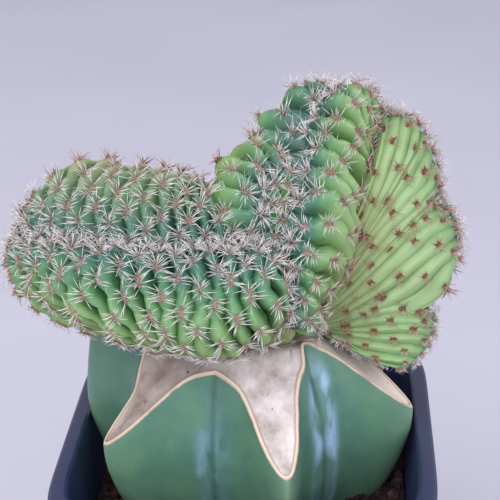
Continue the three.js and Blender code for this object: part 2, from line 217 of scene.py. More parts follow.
# dust and scuffs lie in patches some 11 mm across
dust = add_node(tree, "TexNoise", {"Scale": 90.0, "Detail": 6.0, "Roughness": 0.65},
                {"Vector": place.outputs["Object"]})
tone = add_node(tree, "ValToRGB", links={"Fac": dust.outputs["Fac"]},
                stops=((0.35, "#232a4a"), (0.6, "#2c3458"), (0.8, "#414869")))
gloss = add_node(tree, "MapRange",
                 {"From Min": 0.3, "From Max": 0.8, "To Min": 0.32, "To Max": 0.55},
                 {"Value": dust.outputs["Fac"]})
# the spark grain is 0.05 mm on the mould, drawn at 0.25 mm so that it shows
grain = add_node(tree, "TexNoise", {"Scale": 4000.0, "Detail": 1.0},
                 {"Vector": place.outputs["Object"]})
relief = add_node(tree, "Bump", {"Strength": 0.15, "Distance": 0.05 * MM},
                  {"Height": grain.outputs["Fac"]})
coat = add_node(tree, "BsdfPrincipled", {"IOR": 1.49},
                {"Base Color": tone.outputs["Color"], "Roughness": gloss.outputs["Result"],
                 "Normal": relief.outputs["Normal"]})
add_node(tree, "OutputMaterial", links={"Surface": coat.outputs["BSDF"]})
pot.data.materials.clear()
pot.data.materials.append(plastic)
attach(pot, "root")
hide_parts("pot")

# Potting mix: peat, bark crumbs and a little grit, filled to 15 mm under the lip and settled.
# One closed bed carries the form, and loose crumbs lie half sunk in its top.
SOIL_TOP, CRUMBS, CRUMBS_DRAWN, CRUMB_MARGIN, STEM_ROOM = 55 * MM, 3400, 5200, 0.9, 14


def new_piece(name, points, faces, smooth=True):
    """A piece with the given points, in metres, and faces."""
    mesh = bpy.data.meshes.new(name)
    mesh.from_pydata(np.asarray(points).tolist(), [], faces)
    if smooth:
        mesh.shade_smooth()
    piece = bpy.data.objects.new(name, mesh)
    scene.collection.objects.link(piece)
    return piece


def scattered(name, shapes, faces, smooth=True):
    """A piece of many small shapes alike, each with its own points, in millimetres."""
    starts = np.arange(shapes.shape[0]) * shapes.shape[1]
    every = np.array(faces)[None] + starts[:, None, None]
    return new_piece(name, shapes.reshape(-1, 3) * MM, every.reshape(-1, 3).tolist(), smooth)


def store(piece, name, values):
    """A number for each point of a piece, which its material reads by name."""
    layer = piece.data.attributes.new(name, "FLOAT", "POINT")
    layer.data.foreach_set("value", np.ravel(values).astype(np.float32))


def closed_skin(name, rings, start, end):
    """A closed piece over rings of equally many points, from one pole to the other."""
    count = rings.shape[1]
    points = np.vstack([start, rings.reshape(-1, 3), end])
    here = np.arange(count)
    after = (here + 1) % count
    faces = [(0, 1 + b, 1 + a) for a, b in zip(here, after)]
    for ring in range(rings.shape[0] - 1):
        low, high = 1 + ring * count, 1 + (ring + 1) * count
        faces += [(low + a, low + b, high + b, high + a) for a, b in zip(here, after)]
    high, last = 1 + (rings.shape[0] - 1) * count, len(points) - 1
    faces += [(high + a, high + b, last) for a, b in zip(here, after)]
    return new_piece(name, points, [tuple(map(int, face)) for face in faces])


def soil_rise(x, y):
    """How far the settled top stands over its mean height, from coordinates in millimetres."""
    swell = 0.8 * np.sin(0.9 * x + 0.4 * y) * np.sin(0.8 * y - 0.3 * x)
    lumps = 0.35 * np.sin(2.3 * x + 1.1) * np.sin(2.9 * y + 0.7 * x)
    return (0.6 * swell + lumps) * MM


soil_rings = [square_ring(pot_inside(z) - FIT, z) for z in (POT_FLOOR, 20 * MM, 40 * MM, SOIL_TOP)]
for share in np.linspace(0.985, 0.02, 46):
    ring = square_ring((pot_inside(SOIL_TOP) - FIT) * share, SOIL_TOP)
    ring[:, 2] += soil_rise(ring[:, 0] / MM, ring[:, 1] / MM)
    soil_rings.append(ring)
bed = closed_skin("soil_mix", np.array(soil_rings), (0, 0, POT_FLOOR), (0, 0, SOIL_TOP))

rng = np.random.default_rng(11)
bpy.ops.object.select_all(action="DESELECT")
bpy.ops.mesh.primitive_ico_sphere_add(subdivisions=1, radius=1)
crumb = bpy.context.object
crumb_points = np.array([vertex.co for vertex in crumb.data.vertices])
crumb_faces = np.array([face.vertices for face in crumb.data.polygons])
bpy.data.objects.remove(crumb)
# more places are drawn than there are crumbs, because those in the wall or under the stem, whose
# axis is a millimetre to the right and back, are left out
reach = pot_inside(SOIL_TOP) / MM - CRUMB_MARGIN
spots = rng.uniform(-1, 1, (CRUMBS_DRAWN, 2)) * reach
inside_wall = np.sum(np.abs(spots) ** SQUARENESS, 1) < reach ** SQUARENESS
outside_stem = np.hypot(spots[:, 0] - 1, spots[:, 1] - 1) > STEM_ROOM
spots = spots[inside_wall & outside_stem][:CRUMBS]
# half the width of each: most are fine, and a few are lumps
crumb_sizes = 0.28 + 1.15 * rng.random(len(spots)) ** 3.2
turns = rng.normal(size=(len(spots), 3, 3))
turns = np.linalg.qr(turns)[0]
stretch = rng.uniform(0.6, 1.25, (len(spots), 1, 3))
crumbs = crumb_points[None] * rng.uniform(0.72, 1.15, (len(spots), len(crumb_points), 1)) * stretch
crumbs = np.einsum("nij,nkj->nki", turns, crumbs) * crumb_sizes[:, None, None]
crumbs[:, :, 0] += spots[:, None, 0]
crumbs[:, :, 1] += spots[:, None, 1]
level = (SOIL_TOP + soil_rise(spots[:, 0], spots[:, 1])) / MM
crumbs[:, :, 2] += (level + 0.25 * crumb_sizes)[:, None]
loose = scattered("soil_crumbs", crumbs, crumb_faces, smooth=False)
store(loose, "tone", np.repeat(rng.random(len(spots)), len(crumb_points)))
bpy.ops.object.select_all(action="DESELECT")
loose.select_set(True)
bpy.context.view_layer.objects.active = loose
bpy.ops.object.mode_set(mode="EDIT")
bpy.ops.mesh.select_all(action="SELECT")
bpy.ops.mesh.normals_make_consistent(inside=False)
bpy.ops.object.mode_set(mode="OBJECT")

# Peat and bark: matt, dark brown with a purple cast, each crumb its own tone, a few pale grits
peat, tree = start_material("peat and bark mix")
place = add_node(tree, "TexCoord")
# grains of peat and bark, about 1 mm
speck = add_node(tree, "TexNoise", {"Scale": 900.0, "Detail": 5.0, "Roughness": 0.7},
                 {"Vector": place.outputs["Object"]})
ground = add_node(tree, "ValToRGB", links={"Fac": speck.outputs["Fac"]},
                  stops=((0.3, "#2c2128"), (0.55, "#4a3a42"), (0.8, "#6b544f")))
own = add_node(tree, "Attribute", attribute_name="tone")
shade = add_node(tree, "ValToRGB", links={"Fac": own.outputs["Fac"]},
                 stops=((0.0, "#6b5a5c"), (0.45, "#8c7876"), (0.8, "#b8988a"), (0.955, "#d8b49a"),
                        (0.985, "#fff4e4")))
# the sockets of a mix of colours go by number: its amount, its two colours and their mixture
AMOUNT, FIRST, SECOND, MIXED = 0, 6, 7, 2
mixed = add_node(tree, "Mix", {AMOUNT: 1.0},
                 {FIRST: ground.outputs["Color"], SECOND: shade.outputs["Color"]},
                 data_type="RGBA", blend_type="OVERLAY")
relief = add_node(tree, "Bump", {"Strength": 0.8, "Distance": 0.3 * MM},
                  {"Height": speck.outputs["Fac"]})
coat = add_node(tree, "BsdfPrincipled", {"Roughness": 0.92, "IOR": 1.4},
                {"Base Color": mixed.outputs[MIXED], "Normal": relief.outputs["Normal"]})
add_node(tree, "OutputMaterial", links={"Surface": coat.outputs["BSDF"]})
for piece in (bed, loose):
    piece.data.materials.append(peat)
    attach(piece, "root")
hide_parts("soil")

# Rootstock: a stout column of six bladed ribs with a blue, waxy skin. Its head is cut level,
# each rib is bevelled off, and the cuts have dried to a dished callus in a lip of skin.
STEM_X, STEM_Y, STEM_FOOT, STEM_TOP, PLATEAU, THIN = 1.0, 1.0, 36.0, 92.0, 13.0, 4.5
CUT_CORE, CUT_LEVEL, DISH = 12.0, 91.8, 0.36
# turn from the front to the right in degrees, reach, height of the bevel's tip, core in the
# groove after it, how much wax bloom and painted reflection that groove carries, how far it is
# pinched in at the top, whether the bevel was cut straight across (1) or round the axis (0), and
# how sharply the side towards that groove narrows to the ridge; lengths in millimetres
STEM_RIBS = np.array([
    (-98, 35.7, 88, 25.5, 0.5, 0, 0, THIN),
    (-57.5, 33.9, 74.5, 19.6, 0.75, 0, 0, THIN),
    (14.5, 32.4, 74.4, 19.2, 1.0, 0.09, 0, THIN),
    (86.5, 32.8, 74.2, 19.5, 0.7, 0.1, 1, 2.2),
    (145, 33, 77, 19.5, 0.6, 0.1, 0, THIN),
    (203.5, 33.5, 80, 20, 0.6, 0.1, 0, THIN),
])
RUN_HEIGHTS = [36, 44, 50, 55, 60, 66, 72, 80, 86, 92]
RIDGE_RUN = [0.3, 0.5, 0.67, 0.8, 0.88, 0.955, 1, 0.985, 0.96, 0.93]
GROOVE_RUN = [0.45, 0.7, 0.83, 0.9, 0.96, 0.99, 1, 0.95, 0.9, 0.8]
half_shares = np.array([0, 0.03, 0.06, 0.09, 0.13, 0.17, 0.21, 0.26, 0.31, 0.37, 0.43, 0.5, 0.57,
                        0.64, 0.71, 0.78, 0.85, 0.91, 0.96])
columns = []
for i, (turn, reach, tip, groove, bloom_and_reflection, pinch, flat, thin) in enumerate(STEM_RIBS):
    before, after = STEM_RIBS[i - 1], STEM_RIBS[(i + 1) % len(STEM_RIBS)]
    half_before = ((turn - before[0]) % 360) / 2
    half_after = ((after[0] - turn) % 360) / 2
    slope = (STEM_TOP - tip) / (reach - PLATEAU)
    for other, half, core, wax_and_reflection, nip, power, sign, shares in (
        (before, half_before, *before[3:6], THIN, -1, half_shares[:0:-1]),
        (after, half_after, groove, bloom_and_reflection, pinch, thin, 1, np.append(half_shares, 1.0)),
    ):
        other_slope = (STEM_TOP - other[2]) / (other[1] - PLATEAU)
        for s in shares:
            meet = 0.5 * np.clip((s - 0.55) / 0.45, 0, 1) ** 2
            columns.append((
                math.radians(turn + sign * s * half), math.radians(turn), s, reach, core,
                slope + (other_slope - slope) * meet, wax_and_reflection, nip, flat + (other[6] - flat) * meet,
                power))
turn_, ridge_turn, share_, reach_, core_, slope_, wax_and_reflection_, nip_, plane_, power_ = np.array(columns).T


def run_at(run, z):
    """The share at a height in one of the stem's runs, eased over its stations."""
    return sum(np.interp(z + d, RUN_HEIGHTS, run) for d in (-3, -1, 1, 3)) / 4


def stem_radius(z):
    """Radius of every column of the stem's skin at its own height."""
    ridge, core = reach_ * run_at(RIDGE_RUN, z), core_ * run_at(GROOVE_RUN, z)
    nipped = nip_ * np.exp(-((1 - share_) / 0.17) ** 2) * np.clip((z - 76) / 12, 0, 1)
    core = core * (1 - nipped)
    blade = ((1 + np.cos(math.pi * share_)) / 2) ** power_
    wave = (0.1 * np.sin(0.31 * z + 3 * turn_) * np.sin(2 * turn_ + 0.13 * z)
            * share_ * (1 - share_) * 4)
    return core + (ridge - core) * (0.75 * blade + 0.25 * (1 - share_) ** 1.2) + wave


def cut_height(radius):
    """Height of the cut at a distance from the axis: level in the middle, then falling."""
    along = radius * (1 - plane_ * (1 - np.cos(turn_ - ridge_turn)))
    return STEM_TOP - slope_ * np.maximum(0, along - PLATEAU)


# where each column's skin meets the cut, by halving
low, high = np.full(len(turn_), SOIL_TOP / MM), np.full(len(turn_), STEM_TOP)
for _ in range(30):
    middle = (low + high) / 2
    under = middle < cut_height(stem_radius(middle))
    low, high = np.where(under, middle, low), np.where(under, high, middle)
rim = low


def stem_place(radius, z):
    """The columns' points at a distance from the stem's axis and a height."""
    return np.stack([STEM_X + radius * np.sin(turn_), STEM_Y - radius * np.cos(turn_), z], 1)


stem_rings, depths = [], []
skin_shares = [*np.linspace(0, 0.93, 34), 0.96, 0.98, 0.992, 1.0]
for up in skin_shares:
    z = STEM_FOOT + (rim - STEM_FOOT) * up
    stem_rings.append(stem_place(stem_radius(z), z))
    depths.append(z - rim)
rim_points = stem_rings[-1]
inwards = np.roll(rim_points, -1, 0) - np.roll(rim_points, 1, 0)
inwards = np.stack([-inwards[:, 1], inwards[:, 0], np.zeros(len(turn_))], 1)
inwards /= np.linalg.norm(inwards, axis=1)[:, None]
rim_radius = np.hypot(rim_points[:, 0] - STEM_X, rim_points[:, 1] - STEM_Y)
room = 0.8 * np.where(share_ > 0, rim_radius * np.abs(np.sin(turn_ - ridge_turn)), 4.0) + 0.05
# the lip of skin and the dish inside it: how far in from the skin, and how high over the cut
LIP = ((0.03, 0.12), (0.1, 0.26), (0.22, 0.37), (0.38, 0.4), (0.54, 0.34), (0.7, 0.2),
       (0.86, 0.02), (1.05, -0.16), (1.3, -0.28), (1.8, -0.34), (2.6, -DISH), (3.6, -DISH))
for inset, rise in LIP:
    step = room * (1 - np.exp(-inset / room))
    ring = rim_points + inwards * step[:, None]
    radius = np.hypot(ring[:, 0] - STEM_X, ring[:, 1] - STEM_Y)
    ring[:, 2] = cut_height(radius) + rise
    stem_rings.append(ring)
    depths.append(np.full(len(turn_), inset) + 0.001)
inner_ring = stem_rings[-1]
flat_ring = stem_place(np.full(len(turn_), CUT_CORE), np.full(len(turn_), CUT_LEVEL))
for s in np.linspace(0.12, 1, 9):
    ring = inner_ring + (flat_ring - inner_ring) * s
    radius = np.hypot(ring[:, 0] - STEM_X, ring[:, 1] - STEM_Y)
    pucker = 0.12 * np.sin(1.7 * ring[:, 0] + 0.8 * ring[:, 2]) * np.sin(1.3 * ring[:, 1] + 2)
    ring[:, 2] = cut_height(radius) - DISH + 0.2 * s + pucker
    stem_rings.append(ring)
    depths.append(np.full(len(turn_), 4.0 + 4 * s))
stem_rings = np.array(stem_rings) * MM
stem = closed_skin("stock_stem", stem_rings, (STEM_X * MM, STEM_Y * MM, STEM_FOOT * MM),
                   (STEM_X * MM, STEM_Y * MM, CUT_LEVEL * MM))
depths = np.array(depths)
heights = stem_rings[:, :, 2] / MM
side_of_groove = np.tile(share_, (len(depths), 1))
wax_and_reflection = np.tile(wax_and_reflection_, (len(depths), 1))
# the bloom, partly real wax and partly a painted reflection, lies in a strip down both sides
# of a groove, and fades in under the cut
strip = np.exp(-((side_of_groove - 0.85) / 0.13) ** 2)
fade_in = np.where(wax_and_reflection > 0.9, 5, 26)
low_down = np.clip((rim[None] - heights - 1) / fade_in, 0, 1)
for name, values in (
    ("inward", depths),
    ("groove", side_of_groove),
    ("bloom_and_reflection", strip * wax_and_reflection * low_down),
):
    store(stem, name, np.concatenate([[values[0].mean()], values.ravel(), [values[-1].mean()]]))

# Waxed cactus skin: a smooth blue-green with a soft gloss, painted shade that darkens the grooves,
# a painted highlight along each ridge, and a powdery pale blue bloom, partly real wax and partly
# a painted reflection, that lies in blotches down both sides of each groove
skin, tree = start_material("waxed cactus skin")
place = add_node(tree, "TexCoord")
groove = add_node(tree, "Attribute", attribute_name="groove")
bloom_and_reflection = add_node(tree, "Attribute", attribute_name="bloom_and_reflection")
# the green drifts over some 8 mm
cloud = add_node(tree, "TexNoise", {"Scale": 130.0, "Detail": 4.0, "Roughness": 0.55},
                 {"Vector": place.outputs["Object"]})
flesh = add_node(tree, "ValToRGB", links={"Fac": cloud.outputs["Fac"]},
                 stops=((0.34, "#446c5e"), (0.5, "#547c66"), (0.68, "#678c66")))
# painted highlight along each ridge and painted shade down in each groove, by place across the rib
ridge_glint_and_groove_shade = add_node(tree, "ValToRGB", links={"Fac": groove.outputs["Fac"]},
                stops=((0.0, "#93aa8c"), (0.05, "#6e8c74"), (0.25, "#587f69"), (0.9, "#4e766a"),
                       (0.985, "#274f4a")))
body = add_node(tree, "Mix", {AMOUNT: 0.5},
                {FIRST: flesh.outputs["Color"], SECOND: ridge_glint_and_groove_shade.outputs["Color"]}, data_type="RGBA")
# bloom and painted reflection lie in blotches some 4 mm wide and 9 mm high
stretched = add_node(tree, "Mapping", {"Location": (0.004, 0.0, 0.002), "Scale": (1.0, 1.0, 0.45)},
                     {"Vector": place.outputs["Object"]})
blotch = add_node(tree, "TexNoise", {"Scale": 240.0, "Detail": 4.0},
                  {"Vector": stretched.outputs["Vector"]})
patchy = add_node(tree, "MapRange", {"From Min": 0.42, "From Max": 0.58, "To Min": 0.12},
                  {"Value": blotch.outputs["Fac"]})
powder_and_reflection = add_node(tree, "Math", links={0: patchy.outputs["Result"], 1: bloom_and_reflection.outputs["Fac"]},
                  operation="MULTIPLY", use_clamp=True)
# the pale blue is partly real wax bloom and partly a painted reflection of the sky
waxed = add_node(tree, "Mix", {SECOND: paint("#9ab9d4")},
                 {AMOUNT: powder_and_reflection.outputs[0], FIRST: body.outputs[MIXED]}, data_type="RGBA")
gloss = add_node(tree, "MapRange", {"To Min": 0.3, "To Max": 0.6}, {"Value": powder_and_reflection.outputs[0]})
# pores of the skin are 0.05 mm, drawn at 0.3 mm so that they break the gloss
pores = add_node(tree, "TexNoise", {"Scale": 3000.0, "Detail": 2.0},
                 {"Vector": place.outputs["Object"]})
relief = add_node(tree, "Bump", {"Strength": 0.12, "Distance": 0.05 * MM},
                  {"Height": pores.outputs["Fac"]})
coat = add_node(tree, "BsdfPrincipled", {"IOR": 1.42},
                {"Base Color": waxed.outputs[MIXED], "Roughness": gloss.outputs["Result"],
                 "Normal": relief.outputs["Normal"]})
add_node(tree, "OutputMaterial", links={"Surface": coat.outputs["BSDF"]})
stem.data.materials.append(skin)

# Dried cut: the skin's cut edge is a cream bead, inside it a thin brown line where the tissue
# shrank away, and the callus is leathery, mottled beige and grey with a few dark specks
callus, tree = start_material("dried cactus callus")
place = add_node(tree, "TexCoord")
inward = add_node(tree, "Attribute", attribute_name="inward")
# blotches of the dried face, some 5 mm across
mottle = add_node(tree, "TexNoise", {"Scale": 190.0, "Detail": 7.0, "Roughness": 0.62},
                  {"Vector": place.outputs["Object"]})
felt = add_node(tree, "ValToRGB", links={"Fac": mottle.outputs["Fac"]},
                stops=((0.26, "#887b74"), (0.42, "#b2a6a0"), (0.56, "#ccc1bc"), (0.76, "#e2d9d5")))
# specks, about 1 mm apart
specks = add_node(tree, "TexNoise", {"Scale": 900.0, "Detail": 3.0},
                  {"Vector": place.outputs["Object"]})
pit = add_node(tree, "MapRange", {"From Min": 0.69, "From Max": 0.75},
               {"Value": specks.outputs["Fac"]})
parts = add_node(tree, "SeparateXYZ", links={"Vector": place.outputs["Object"]})
# the cut of the left rib dried darker than the rest
darker = add_node(tree, "MapRange",
                  {"From Min": -12 * MM, "From Max": -2 * MM, "To Min": 0.85, "To Max": 0.0},
                  {"Value": parts.outputs["X"]})
aged = add_node(tree, "Mix", {SECOND: paint("#d4cbc5")},
                {AMOUNT: darker.outputs["Result"], FIRST: felt.outputs["Color"]},
                data_type="RGBA", blend_type="MULTIPLY")
# and that of the right rib is a warmer tan, and painted lighter still, as painted light against
# the shadow that the fan casts on it
tan_and_light = add_node(tree, "MapRange", {"From Min": 11 * MM, "From Max": 19 * MM, "To Max": 0.85},
               {"Value": parts.outputs["X"]})
warmed_and_lit = add_node(tree, "Mix", {SECOND: paint("#f2dfce")},
                  {AMOUNT: tan_and_light.outputs["Result"], FIRST: aged.outputs[MIXED]}, data_type="RGBA")
speckled = add_node(tree, "Mix", {SECOND: paint("#5a4a40")},
                    {AMOUNT: pit.outputs["Result"], FIRST: warmed_and_lit.outputs[MIXED]},
                    data_type="RGBA")
# the rim wavers over some 4 mm
uneven = add_node(tree, "TexNoise", {"Scale": 260.0, "Detail": 4.0},
                  {"Vector": place.outputs["Object"]})
spread = add_node(tree, "MapRange",
                  {"From Min": 0.3, "From Max": 0.7, "To Min": -0.12, "To Max": 0.2},
                  {"Value": uneven.outputs["Fac"]})
shifted = add_node(tree, "Math", links={0: inward.outputs["Fac"], 1: spread.outputs["Result"]},
                   operation="ADD")
depth = add_node(tree, "MapRange", {"From Min": 0.0, "From Max": 2.0},
                 {"Value": shifted.outputs[0]})
band = add_node(tree, "ValToRGB", links={"Fac": depth.outputs["Result"]},
                stops=((0.0, "#8f8f74"), (0.05, "#b9a58c"), (0.14, "#d6c2ac"), (0.34, "#cdb8a4"),
                       (0.42, "#a08672"), (0.54, "#b3a194")))
inside = add_node(tree, "MapRange", {"From Min": 0.75, "From Max": 1.35},
                  {"Value": shifted.outputs[0]})
face = add_node(tree, "Mix", data_type="RGBA", links={
    AMOUNT: inside.outputs["Result"], FIRST: band.outputs["Color"],
    SECOND: speckled.outputs[MIXED]})
relief = add_node(tree, "Bump", {"Strength": 0.5, "Distance": 0.25 * MM},
                  {"Height": mottle.outputs["Fac"]})
coat = add_node(tree, "BsdfPrincipled", {"Roughness": 0.68, "IOR": 1.45},
                {"Base Color": face.outputs[MIXED], "Normal": relief.outputs["Normal"]})
add_node(tree, "OutputMaterial", links={"Surface": coat.outputs["BSDF"]})
stem.data.materials.append(callus)
rim_start = 1 + (len(skin_shares) - 1) * len(turn_)
for polygon in stem.data.polygons:
    if min(polygon.vertices) >= rim_start:
        polygon.material_index = 1
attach(stem, "root")
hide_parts("rootstock")

# Crest: one growing point that has widened into a line and thrown three lobes, on a short
# ribbed neck. Ribs run from the growing line down both faces, each a row of tubercles whose
# chins stand half a step from their neighbours'.

# steps to a tubercle down a rib, and places across the rib, which run on under its neighbours
STEPS = 7
ACROSS = np.array([-0.66, -0.5, -0.38, -0.25, -0.12, 0, 0.12, 0.25, 0.38, 0.5, 0.66])
# Each lobe is a fan that spreads from its roots to its growing edge; the right-hand one is two
# of them, head and fan. A station gives the edge's place, then swell and rise of the front and
# the back, in millimetres. ease crowds the tubercles to the edge, head makes the flesh fuller
# near it. A rib stands as high as relief (front, back), but no more than crowd of the step to
# its neighbours; knobs is how far its tubercles stand out, ridge how round it is across. pace
# is how fast it greens away from the edge, pale how light its front is.
FOLDS = {
    "left": dict(
        roots=((-6, -3, 93), (0, -3, 93)),
        stations=(
            (-10, 8, 97, 5, 0, 7, 0), (-26, 13, 104, 9, 0, 9, 2), (-38.8, 9, 110, 9.5, 1, 8.5, 3),
            (-42.6, -3.5, 113, 9.5, 1, 11, 4), (-36, -11.5, 116, 10, 2, 17, 8),
            (-26.5, -15, 116, 12, 2, 18, 6.5), (-17, -16.5, 115.5, 13, 2, 19, 5),
            (-8, -17, 115.3, 13.5, 2, 18, 5), (0, -14.5, 115, 12, 2, 15, 7),
            (5.5, -9, 112, 9, 1, 9, 1), (5, -4, 98, 5, 0, 5, 0)),
        ribs=32, tubercles=7, ease=1.7, head=0.35, relief=(1.6, 1.0), crowd=0.5, knobs=1.0,
        ridge=1.9, pace=1.0, pale=0),
    "middle": dict(
        roots=((4, -3, 96), (4, 1, 96)),
        stations=(
            (5, -10, 106, 4, 0, 6, 0), (5, -12, 115, 5, 0, 8, 3), (4.2, -9.5, 121.7, 5, 0, 9, 5),
            (5.8, -6.5, 125.2, 5, 0, 10, 6), (8.8, -3.5, 126.2, 4, 0, 10.5, 6),
            (11, -0.5, 119, 3, 0, 6, 0)),
        ribs=11, tubercles=4, ease=1.4, head=0.35, relief=(1.6, 2.4), crowd=0.6, knobs=0.5,
        ridge=1.0, pace=1.8, pale=0.2),
    "head": dict(
        roots=((12, -6, 93), (14.5, -3, 100), (19.4, -1, 103.5), (22.4, 0, 112.4),
               (24.4, 2, 121.5), (25.5, 4, 127.5), (27, 5, 129.5), (28, 5, 127)),
        stations=(
            (9, -14, 99, 3, 0, 3, 0), (9.5, -14.5, 110, 4.5, 0, 5, 0),
            (11.3, -10.5, 118.7, 5.5, 0, 8, 2), (12.4, -3.5, 126.4, 6, 0, 10.5, 5),
            (13.4, 3.5, 132.5, 6.5, 0, 9.5, 9.5), (18.2, 9, 136.8, 6.5, 0.5, 5.2, 8.5),
            (22.4, 11, 135.4, 3, 0, 4.5, 6), (25.3, 10, 130.8, 2.5, 0, 4, 2)),
        ribs=16, tubercles=5, ease=1.35, head=0.5, relief=(1.5, 1.5), crowd=0.5, knobs=0.5,
        ridge=1.5, pace=1.7, pale=0.5),
    "fan": dict(
        roots=((11, -5, 93), (13, -1, 93)),
        stations=(
            (21, 6, 127.2, 7, 0, 5, 0), (24, 10, 131.6, 8, 2, 6, 0), (29.5, 12, 132, 9, 3, 6, 0),
            (34.3, 12, 128.6, 9, 3, 7, 0), (37.2, 10, 123, 8, 2, 8, 0), (38, 8, 116.6, 8, 1, 8, 1),
            (41.1, 6, 111.8, 8, 1, 8, 1), (41, 5, 107.2, 8, 1, 8, 0), (38, 5, 102.6, 8, 0, 8, 1),
            (35.6, 3, 99.3, 7, 0, 7, 1), (37, 1, 92.2, 7, 1, 7, 1), (34.7, -1, 87, 6, 1, 7, 1),
            (30, -2, 84.4, 6, 0, 7, 1), (20, -2, 88.2, 4, 0, 5, 0)),
        ribs=30, tubercles=6, ease=1.6, head=0.6, relief=(0.6, 1.3), crowd=0.3, knobs=0.4,
        ridge=1.3, pace=1.3, pale=1),
}


def unit(v):
    """Vectors brought to a length of one."""
    return v / np.maximum(np.linalg.norm(v, axis=-1), 1e-9)[..., None]


def smooth_line(values, t):
    """A smooth line through evenly spaced values, read at t from 0 to 1."""
    values, last = np.asarray(values, float), len(values) - 1
    t = np.clip(t, 0, 1) * last
    i = np.minimum(t.astype(int), last - 1)
    s = (t - i)[..., None]
    a, b, c, d = (values[np.clip(i + k, 0, last)] for k in (-1, 0, 1, 2))
    bend = 2 * a - 5 * b + 4 * c - d + s * (3 * (b - c) + d - a)
    return b + 0.5 * s * (c - a + s * bend)


def sheet_at(fold, u):
    """A fold's sheet at u along its edge: root, direction and length up, direction out, swells."""
    read = smooth_line(fold["stations"], u)
    root = smooth_line(fold["roots"], u)
    up = read[..., :3] - root
    length = np.linalg.norm(up, axis=-1)
    up = unit(up)
    run = smooth_line(fold["stations"], np.minimum(1, u + 0.01)) - smooth_line(
        fold["stations"], np.maximum(0, u - 0.01))
    return root, up, length, unit(np.cross(run[..., :3], up)), read[..., 3:]


def flesh_at(fold, u, around, side):
    """A point of a fold's plain form. around is 0 at the growing edge and 1 at the root."""
    root, up, length, out, swells = sheet_at(fold, u)
    swell = np.where(side > 0, swells[..., 0], swells[..., 2])
    rise = np.where(side > 0, swells[..., 1], swells[..., 3])
    across, top = np.sin(math.pi * around), 1 + np.cos(math.pi * around)
    lift = length * top / 2 + rise * across * top * 0.77
    push = side * swell * across * (1 + fold["head"] * np.cos(math.pi * around))
    return root + up * lift[..., None] + out * push[..., None]


def stagger(rib):
    """How far a rib's tubercles are shifted along it: every other rib by half a step, unevenly."""
    return np.mod(rib, 2) / 2 + 0.13 * np.sin(rib * 12.9898 + 4.1)


def rib_surface(fold, rib, t, side, aside):
    """Points on ribs: t counts tubercles from the growing edge, aside runs across the rib."""
    middle = (rib + 0.5) / fold["ribs"]
    # no rib runs quite straight
    stray = 0.5 * np.sin(1.2 * t + 17 * middle * side) * np.minimum(t / 3, 1)
    stray = stray + 0.07 * np.sin(2.6 * t + 2.3 * rib)
    middle = middle + stray / fold["ribs"]
    u = middle + aside / fold["ribs"]
    around = (np.maximum(t, 0) / fold["tubercles"]) ** fold["ease"]
    plain = flesh_at(fold, u, around, side)
    ridge = flesh_at(fold, middle, around, side)
    down = flesh_at(fold, u, np.minimum(1, around + 0.01), side) - flesh_at(
        fold, u, np.maximum(0, around - 0.01), side)
    _, up, length, out, _ = sheet_at(fold, u)
    normal = unit(np.cross(np.cross(up, out), down) * -side[..., None])
    _, up, _, out, _ = sheet_at(fold, middle)
    sideways = np.cross(up, out)
    # where ribs crowd together, each keeps a little width and doesn't turn over
    ahead = np.sum((plain - ridge) * sideways, -1) * np.sign(aside)
    short = np.maximum(0, 0.5 * np.abs(aside) - ahead) * np.sign(aside)
    plain = plain + sideways * short[..., None]
    # the distance to the nearer neighbour; past the end of a fold there is none
    step, gaps = 1 / fold["ribs"], []
    for beside in (middle - step, middle + step):
        apart = flesh_at(fold, np.clip(beside, 0, 1), around, side) - ridge
        gaps.append(np.linalg.norm(apart, axis=-1) + 9 * (np.abs(beside - 0.5) > 0.5))
    pitch = np.minimum(*gaps)
    # a rib rises from the growing edge, and sinks in again at the root
    last = fold["tubercles"]
    fade = np.clip(0.3 + t / 2, 0, 1) * np.clip((last - t) / (last / 3), 0, 1)
    high = np.minimum(np.where(side > 0, *fold["relief"]) * fade, fold["crowd"] * pitch)
    high = high * (1 + 0.16 * np.sin(rib * 7.1 + 1.3))
    # each of its tubercles has a size of its own
    number = t + stagger(rib)
    size = 1 + 0.22 * np.sin(np.floor(number) * 5.3 + rib * 2.7 + side)
    bump = np.sin(math.pi * np.mod(number, 1) ** 1.4) ** 0.8 * size
    across = np.abs(2 * aside) ** fold["ridge"]
    rise = high * (0.42 + fold["knobs"] * bump - 1.1 * across)
    # painted shade: the skin is painted darker down in the grooves and lighter on each
    # tubercle's bump as a painted highlight, and the painted shade evens out where ribs crowd
    light = np.clip(1 - across, 0, 1) * (0.6 + 0.4 * bump)
    light = light + np.clip(1.4 - pitch / 1.6, 0, 1) * (0.7 - light)
    grown = around * length * 1.45 * fold["pace"]
    return plain + normal * rise[..., None], normal, light, pitch, grown


